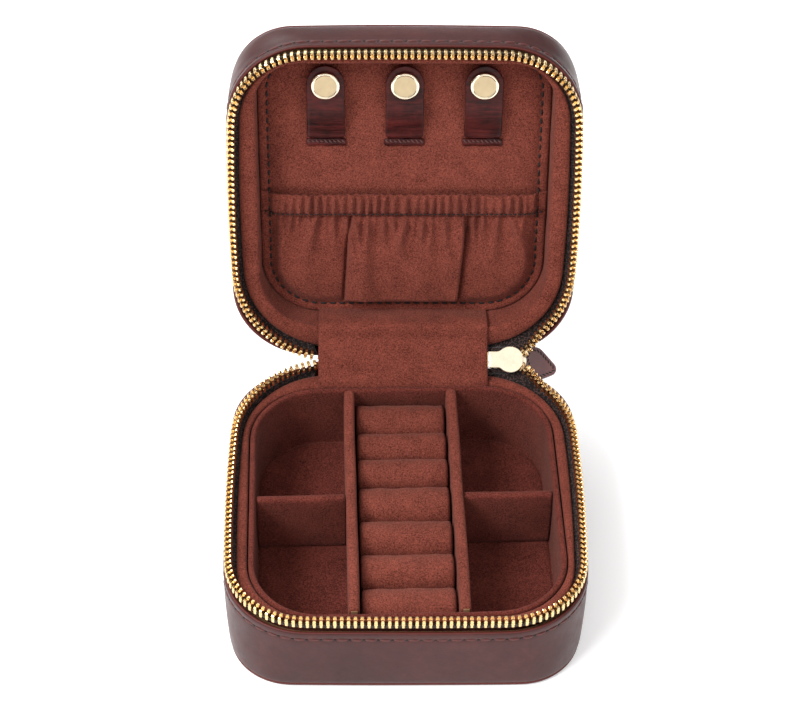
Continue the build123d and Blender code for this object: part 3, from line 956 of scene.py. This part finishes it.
def pocket_folds(x, y):
    """Loose cloth below the gathered hem: soft fans of folds and a raised middle between two pleats."""
    pick = np.random.default_rng(12)
    below = np.maximum(y - HEM_SEAM, 0)
    height = np.zeros_like(x)
    for start in np.arange(-35, 36, 3.6):
        start += pick.uniform(-1, 1)
        slant = 0.012 * (start - np.sign(start) * 16) + pick.uniform(-0.22, 0.22)
        reach = pick.uniform(5, 17)
        width = 0.7 + 0.085 * below
        line = start + slant * below
        height += pick.uniform(1.2, 3.0) * np.exp(-((x - line) / width) ** 2) * np.exp(-below / reach)
    left = PLEATS[0] - 0.06 * below + 1.0 * np.exp(-below / 4)
    right = PLEATS[1] - 0.08 * below - 0.8 * np.exp(-below / 4)
    middle = smoothstep((x - left + 0.3) / 0.6) * smoothstep((right - x + 0.3) / 0.6)
    sag_left = np.exp(-np.maximum(left - x, 0) / 3.0) * (x < left)
    sag_right = np.exp(-np.maximum(x - right, 0) / 3.0) * (x > right)
    crease = np.exp(-((x - left + 0.2) / 0.45) ** 2) + np.exp(-((x - right - 0.2) / 0.45) ** 2)
    height -= 1.6 * crease
    height += 2.1 * middle - 1.3 * (sag_left + sag_right) * np.exp(-below / 20)
    return height


def gathers(x, y, seed):
    """Close upright puckers drawn up by the elastic."""
    drift = 1.5 * wave_noise(np.stack([x, y * 0.3, 0 * x], axis=-1), 15, seed)
    strength = 0.65 + 0.35 * wave_noise(np.stack([x, y, 0 * x], axis=-1), 9, seed + 1)
    fade = smoothstep((37.5 - np.abs(x)) / 5)
    return np.cos(2 * math.pi * x / 2.5 + drift + 0.12 * (y - 2)) * strength * fade


def pocket_grid(top, bottom, rows, columns):
    grid = np.zeros((rows, columns, 3))
    for r, y in enumerate(np.linspace(top, bottom, rows)):
        corner = max(0.0, y - (RECESS_BACK - RECESS_RADIUS))
        reach = RECESS_HALF_X - RECESS_RADIUS + math.sqrt(max(0.0, RECESS_RADIUS ** 2 - corner ** 2))
        grid[r, :, 0] = np.linspace(-1, 1, columns) * (reach - 0.15)
        grid[r, :, 1] = y
    return grid


def make_pocket():
    top = pocket_grid(HEM_SEAM - 0.8, RECESS_BACK - 0.3, 96, 260)
    x, y = top[..., 0], top[..., 1]
    inset = recess_inset(x, y)
    loose = smoothstep((inset - 2.9) / 3.5)
    belly = 1.9 * np.sin(math.pi * np.clip((y - HEM_SEAM) / 34, 0, 1)) ** 0.7
    seam = smoothstep((y - HEM_SEAM) / 1.8)
    pucker = 0.9 * gathers(x, y, 33) * np.exp(-np.maximum(y - HEM_SEAM, 0) / 3.5)
    height = panel_height(inset) + 0.4 + loose * (belly + pocket_folds(x, y) * seam + pucker)
    top[..., 2] = PANEL_Z - height
    low = top + [0, 0, 0.38]
    points, faces = slab(opened(top), opened(low))
    piece = mesh_piece("pocket_suede", points, faces, SUEDE)
    finish_piece(piece, "lid", "lining_suede", "lid_pocket")

    top = pocket_grid(HEM_TOP, HEM_SEAM + 0.5, 26, 300)
    x, y = top[..., 0].copy(), top[..., 1].copy()
    share = (y - HEM_TOP) / (HEM_SEAM + 0.5 - HEM_TOP)
    ripple = gathers(x, y, 33)
    wander = wave_noise(np.stack([x, 0 * x, 0 * x], axis=-1), 20, 44)
    top[..., 1] += (0.22 * ripple + 0.25 * wander) * (1 - share)
    puff = 1.15 * np.sin(math.pi * np.clip(share * 0.9 + 0.1, 0, 1)) ** 0.5 * (1 - 0.35 * share)
    inset = recess_inset(x, y)
    loose = smoothstep((inset - 1.2) / 3)
    seam_dip = 0.45 * np.exp(-((y - HEM_SEAM + 0.3) / 0.5) ** 2)
    channel = 0.35 * np.exp(-((np.abs(x) - (RECESS_HALF_X - 2.75)) / 0.5) ** 2)
    height = panel_height(inset) + 0.75 + loose * (puff + 1.0 * ripple * np.sin(math.pi * share) ** 0.4 + 0.8)
    top[..., 2] = PANEL_Z - height + seam_dip + channel
    low = top + [0, 0, 0.5]
    points, faces = slab(opened(top), opened(low))
    piece = mesh_piece("pocket_hem_suede", points, faces, SUEDE)
    finish_piece(piece, "lid", "lining_suede", "lid_pocket_hem")


def lid_normal():
    return opened(HINGE - [0, 0, 1]) - HINGE


def make_lid_stitching():
    seam = recess_outline(-2.75)
    lift = np.where(seam[:, 1] > HEM_SEAM, 0.42, 0.0)
    on_hem = (seam[:, 1] > HEM_TOP) & (seam[:, 1] < HEM_SEAM + 0.5)
    lift[on_hem] = 1.1
    path = opened(np.c_[seam, PANEL_Z + 0.45 - lift])
    frame_row = stitch_row(path, lid_normal(), 2.75, 2.05, 0.6, 0.6, closed=True)
    xs = np.linspace(-40.2, 40.2, 200)
    flat = np.c_[xs, np.full(200, HEM_SEAM - 0.3)]
    inset = recess_inset(flat[:, 0], flat[:, 1])
    loose = smoothstep((inset - 1.2) / 3)
    height = panel_height(inset) + 0.75 + loose * 1.45
    hem_row = stitch_row(opened(np.c_[flat, PANEL_Z - height]), lid_normal(), 1.35, 1.0, 0.42, 0.5)
    points, faces = join([frame_row, hem_row])
    piece = mesh_piece("lid_stitching", points, faces, BLACK_THREAD_AND_HOLE_SHADE)
    finish_piece(piece, "lid", "lining_suede")


# ---------- snap tabs
STRAP_PATH = [(-41.4, 37.05), (-36, 36.98), (-31, 36.95), (-27.5, 37.1), (-24.6, 37.6), (-22.2, 38.3),
              (-20.2, 38.85), (-18.4, 39.1)]
STRAP_HALF = 5.3
LATHE_STEPS = 56


def strap_band(centre_x, seed):
    path = np.array(STRAP_PATH)
    lengths = distances(path)
    at = np.r_[0.03, 0.12, 0.3, 0.6, 1.0, np.linspace(1.5, lengths[-1], 40)]
    line = at_distance(at, lengths, path)
    for _ in range(4):
        line[6:-1] = (line[5:-2] + 2 * line[6:-1] + line[7:]) / 4
    tangent = unit(np.gradient(line, at, axis=0))
    normal = np.stack([tangent[:, 1], -tangent[:, 0]], axis=1)
    rings = []
    for s, spot, out in zip(at, line, normal):
        half = STRAP_HALF * math.sqrt(1 - (1 - min(s, STRAP_HALF) / STRAP_HALF) ** 2)
        half = max(half + 0.06 * math.sin(s * 0.9 + seed), 0.25)
        left = [(-half, -0.2), (-half, 0.2), (-half + 0.12, 0.42), (-half + 0.38, 0.6), (-half * 0.5, 0.63)]
        under = [(half - 0.15, -0.5), (half - 0.4, -0.6), (-half + 0.4, -0.6), (-half + 0.15, -0.5)]
        section = left + [(0, 0.65)] + [(-u, v) for u, v in left[::-1]] + under
        if half < 1.0:
            section = [(u, v * 0.9) for u, v in section]
        ring = np.array([(centre_x + u, spot[0] + out[0] * v, spot[1] + out[1] * v) for u, v in section])
        rings.append(ring)
    return loft(rings, cap_start=True, cap_end=True)


def lathe(centre, profile):
    """profile is (radius, height) from rim to middle; heights stand down from the closed lid."""
    angles = 2 * math.pi * np.arange(LATHE_STEPS) / LATHE_STEPS
    circle = np.stack([np.cos(angles), np.sin(angles)], axis=1)
    rings = [level(np.array(centre) + radius * circle, z) for radius, z in profile]
    return loft(rings, cap_start=True, cap_end=True)


def make_strap(i, x):
    points, faces = strap_band(x, i)
    piece = mesh_piece(f"snap_strap_{i}_leather", opened(points), faces, STRAP_MAT, levels=1)
    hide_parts(f"snap_strap_{i}")
    start, end = opened([[x, -18.4, 39.0], [x, -22.5, 38.2]]) * MM
    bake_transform(piece)


def make_cap(i, x):
    """A turned cap: a polished rim, then a satin face from ring 8 inwards."""
    rim = [(3.9, 36.3), (4.05, 36.15), (4.05, 35.7), (3.96, 35.45), (3.8, 35.31), (3.62, 35.28),
           (3.45, 35.28)]
    profile = rim + [(3.32, 35.33), (3.24, 35.4), (3.1, 35.42), (2.0, 35.4), (0.6, 35.39)]
    points, faces = lathe((x, -35.7), profile)
    cap = mesh_piece(f"snap_cap_{i}_gold", opened(points), faces, GOLD, levels=1)
    cap.data.materials.append(SATIN_GOLD)
    for polygon in cap.data.polygons:
        if min(polygon.vertices) // LATHE_STEPS >= 8:
            polygon.material_index = 1
    finish_piece(cap, f"snap_tab_{i}", "gold_metal", f"snap_cap_{i}")


def strap_foot(i, x):
    """The folded, slightly lumpy leather end that is sewn to the panel."""
    arch = [(-1.0, 0.0), (-0.93, 0.5), (-0.7, 0.86), (0, 1.0), (0.7, 0.86), (0.93, 0.5), (1.0, 0.0)]
    rings = []
    for j in range(30):
        u = 2 * j / 29 - 1
        half_y = 1.45 + 0.09 * math.sin(j * 1.9 + i) + 0.05 * math.sin(j * 3.1)
        if abs(u) > 0.93:
            half_y *= 0.8
        rise = 1.35 + 0.08 * math.sin(j * 2.3 + i)
        rings.append(np.array([(x + u * 5.75, -16.75 + v * half_y + 0.1 * math.sin(j * 0.5),
                                PANEL_Z + 0.2 - w * rise) for v, w in arch]))
    return loft(rings, cap_start=True, cap_end=True)


def foot_stitches(i, x):
    pick = np.random.default_rng(i)
    front = PANEL_Z - 1.28
    parts = []
    for j in range(9):
        u = x + (j - 4) * 1.22
        lean = pick.uniform(-0.5, 0.5)
        parts.append(capsule((u - 0.45, -17.6 + lean * 0.4, front), (u + 0.5, -16.9 - lean * 0.5, front),
                             (0, 0, -1), 0.42, 0.5))
    return join(parts)


def make_straps():
    pitch = (box("snap_cap_3")[0][0] - box("snap_cap_1")[0][0]) / 2
    places = [(i, (i - 2) * pitch) for i in (1, 2, 3)]
    for i, x in places:
        make_strap(i, x)
        make_cap(i, x)
    points, faces = join([strap_foot(i, x) for i, x in places])
    piece = mesh_piece("strap_feet_leather", opened(points), faces, STRAP_MAT, levels=1)
    finish_piece(piece, "lid", "strap_leather", "strap_feet")
    points, faces = join([foot_stitches(i, x) for i, x in places])
    piece = mesh_piece("strap_feet_stitching", opened(points), faces, GLOSS_THREAD)
    finish_piece(piece, "lid", "strap_leather")


# ---------- slider and pull
def inset_polygon(flat, distance):
    """Moves a counter-clockwise outline inwards."""
    along = unit(np.roll(flat, -1, axis=0) - np.roll(flat, 1, axis=0))
    return flat + np.stack([-along[:, 1], along[:, 0]], axis=1) * distance


def even_outline(flat, spacing):
    loop = closed_loop(flat)
    lengths = distances(loop)
    at = np.linspace(0, lengths[-1], max(8, round(lengths[-1] / spacing)), endpoint=False)
    return at_distance(at, lengths, loop)


def bevelled_plate(flat, low, high, bevel):
    steps = ((bevel, low), (bevel * 0.3, low + bevel * 0.3), (0, low + bevel), (0, high - bevel),
             (bevel * 0.3, high - bevel * 0.3), (bevel, high))
    rings = [level(inset_polygon(flat, inset), z) for inset, z in steps]
    return loft(rings, cap_start=True, cap_end=True)


def hull(circles):
    """Outline round several circles, counter-clockwise."""
    turn = np.linspace(0, 2 * math.pi, 90)
    cloud = [(x + radius * math.cos(a), y + radius * math.sin(a)) for x, y, radius in circles for a in turn]
    cloud = sorted(set((round(px, 5), round(py, 5)) for px, py in cloud))

    def half(points):
        kept = []
        for p in points:
            while len(kept) > 1 and ((kept[-1][0] - kept[-2][0]) * (p[1] - kept[-2][1])
                                     - (kept[-1][1] - kept[-2][1]) * (p[0] - kept[-2][0])) <= 0:
                kept.pop()
            kept.append(p)
        return kept[:-1]
    return np.array(half(cloud) + half(cloud[::-1]))


def slider_outline(radius, tail_x=25.2, half_neck=2.45, waist=2.1):
    centre_y = half_neck + waist
    centre_x = SLIDER_X - math.sqrt((radius + waist) ** 2 - centre_y ** 2)
    meet = math.atan2(-centre_y, SLIDER_X - centre_x)
    upper = [(SLIDER_X + radius * math.cos(a), radius * math.sin(a))
             for a in np.linspace(0, math.pi + meet, 40)]
    upper += [(centre_x + waist * math.cos(a), centre_y + waist * math.sin(a))
              for a in np.linspace(meet, -math.pi / 2, 12)[1:]]
    upper += [(x, half_neck) for x in np.linspace(centre_x - 0.2, tail_x + 0.35, 6)]
    upper += [(tail_x + 0.1, half_neck - 0.1), (tail_x, half_neck - 0.35), (tail_x, 0.6)]
    upper = np.array(upper)
    return np.vstack([upper, upper[:0:-1] * [1, -1]])


def make_slider():
    inner = bevelled_plate(slider_outline(3.9), 1.35, 2.15, 0.2)
    wings = hull([(SLIDER_X, 0, 3.5), (33.6, 0, 2.9), (26.2, 1.3, 0.85), (26.2, -1.3, 0.85)])
    outer = bevelled_plate(even_outline(wings, 0.25), -2.15, -1.35, 0.15)
    post = bevelled_plate(hull([(33.3, 0, 0.6), (34.0, 0, 0.5)])[::2], -1.4, 1.4, 0.02)
    walls = [hull([(26.2, y, 0.24), (27.9, y, 0.24)])[::3] for y in (-1.9, 1.9)]
    walls = [bevelled_plate(flat, -1.4, 1.4, 0.02) for flat in walls]
    points, faces = join([inner, outer, post] + walls)
    piece = mesh_piece("slider_body_gold", in_slider(points), faces, GOLD, smooth=False)
    finish_piece(piece, "zip_slider", "gold_metal", "zip_slider_body")


def hung(points):
    """Swings the drawn pull out to rest against the corner."""
    p = np.array(points, float)
    x, n = p[..., 0] - BAIL_X, p[..., 2] - BAIL_Z
    p[..., 0] = BAIL_X + x * math.cos(PULL_HANG) + n * math.sin(PULL_HANG)
    p[..., 2] = BAIL_Z - x * math.sin(PULL_HANG) + n * math.cos(PULL_HANG)
    return p


def make_pull():
    lobes = [(39.6, 1.0, 3.6), (44.5, -1.8, 2.1), (39.6, -3.6, 2.2)]
    flat = even_outline(hull(lobes), 0.4)
    steps = ((0.5, -3.87), (0.14, -3.8), (0.0, -3.55), (-0.02, -2.95), (0.0, -2.4), (0.12, -2.14),
             (0.42, -2.03), (1.0, -2.0), (1.7, -1.97))
    rings = [level(inset_polygon(flat, inset), z) for inset, z in steps]
    points, faces = loft(rings, cap_start=True, cap_end=True)
    piece = mesh_piece("pull_tab_leather", in_slider(hung(points)), faces, TAB_MAT, levels=1)
    finish_piece(piece, "zip_pull", "strap_leather", "zip_pull_tab")
    line = level(even_outline(inset_polygon(flat, 1.1), 0.4), -1.94)
    up = in_slider(hung([0, 0, 1])) - in_slider(hung([0, 0, 0]))
    points, faces = stitch_row(in_slider(hung(line)), up, 1.1, 1.0, 0.34, 0.4, closed=True, slant=0.7)
    piece = mesh_piece("pull_tab_stitching", points, faces, BLACK_THREAD_AND_HOLE_SHADE)
    finish_piece(piece, "zip_pull", "strap_leather")


make_shells()
make_rim_lining("base", tray_outline(TRAY_WALL + 0.2), RIM, RIM - 12, unturned)
make_rim_lining("lid", recess_outline(0), 2 * HINGE_Z - RIM, PANEL_Z + 0.6, opened)
make_tray()
make_dividers()
make_rolls()
make_shell_stitching()
make_teeth()
make_tape()
make_flap()
make_spine()
make_panel()
make_pocket()
make_lid_stitching()
make_straps()
make_slider()
make_pull()

CAD_MATERIALS = [
    (GOLD, ["zip_slider_bail", "zip_pull_ring"]),
    (GOLD, [f"snap_{part}_{i}" for part in ("socket", "stud") for i in (1, 2, 3)]),
    (BRASS, ["zip_bottom_stop", "base_zip_end_stop", "lid_zip_end_stop"]),
    (TAPE, ["zip_tape_end"]),
    (BOARD, ["divider_core_left", "divider_core_right", "base_wall_board", "base_bottom_board",
             "lid_wall_board", "lid_top_board"]),
]
for material, names in CAD_MATERIALS:
    for name in names:
        cad = frame["nodes"][name]
        cad.data.materials.clear()
        cad.data.materials.append(material)


# ---------- floor, light and camera
def make_stage():
    bpy.ops.mesh.primitive_plane_add(size=6, location=(0, 0, -0.0002))
    floor = bpy.context.object
    floor.name = "floor"
    s = Shader("pale_floor", Roughness=0.9, Specular_IOR_Level=0.1)
    s.main.inputs["Base Color"].default_value = (0.95, 0.95, 0.95, 1)
    s.main.inputs["Emission Color"].default_value = (1, 1, 1, 1)
    s.main.inputs["Emission Strength"].default_value = 0.3
    floor.data.materials.append(s.material)
    world = bpy.data.worlds.new("studio")
    bpy.context.scene.world = world
    world.use_nodes = True
    nodes, links = world.node_tree.nodes, world.node_tree.links
    place = nodes.new("ShaderNodeTexCoord").outputs["Generated"]
    split = nodes.new("ShaderNodeSeparateXYZ")
    links.new(place, split.inputs["Vector"])
    ramp = nodes.new("ShaderNodeValToRGB")
    ramp.color_ramp.elements[0].position, ramp.color_ramp.elements[1].position = 0.05, 0.6
    ramp.color_ramp.elements[0].color = (0.2, 0.2, 0.2, 1)
    ramp.color_ramp.elements[1].color = (1, 1, 1, 1)
    links.new(split.outputs["Z"], ramp.inputs["Fac"])
    links.new(ramp.outputs["Color"], nodes["Background"].inputs["Color"])
    nodes["Background"].inputs["Strength"].default_value = 0.66
    lamps = (("key", (-0.75, -0.5, 1.0), 24, 2.3), ("fill", (0.4, -1.0, 0.7), 60, 0.55),
             ("back", (-0.5, 0.75, 0.8), 50, 1.7))
    for name, place, spread, power in lamps:
        data = bpy.data.lights.new(name, "SUN")
        data.angle = math.radians(spread)
        data.energy = power
        lamp = bpy.data.objects.new(name, data)
        bpy.context.collection.objects.link(lamp)
        lamp.location = place
        lamp.rotation_euler = (-Vector(place)).to_track_quat("-Z", "Y").to_euler()


def make_camera():
    bpy.context.scene.view_settings.view_transform = "Standard"
    elevation, yaw, roll = (math.radians(v) for v in (45.37, -1.21, 0.85))
    distance, across, rise = 0.6073, -0.00136, 0.0262
    level_back = Vector((math.sin(yaw), -math.cos(yaw), 0))
    back = level_back * math.cos(elevation) + Vector((0, 0, math.sin(elevation)))
    right = Vector((math.cos(yaw), math.sin(yaw), 0))
    up = back.cross(right)
    right, up = right * math.cos(roll) + up * math.sin(roll), up * math.cos(roll) - right * math.sin(roll)
    data = bpy.data.cameras.new("camera")
    data.sensor_width = 36
    data.lens = 98.3
    data.shift_y = 0.0415
    data.clip_start, data.clip_end = 0.01, 20
    camera = bpy.data.objects.new("camera", data)
    bpy.context.collection.objects.link(camera)
    place = Vector((0, 0, HINGE_Z * MM)) + back * distance + right * across + up * rise
    camera.matrix_world = Matrix.Translation(place) @ Matrix((right, up, back)).transposed().to_4x4()
    bpy.context.scene.camera = camera


make_stage()
make_camera()
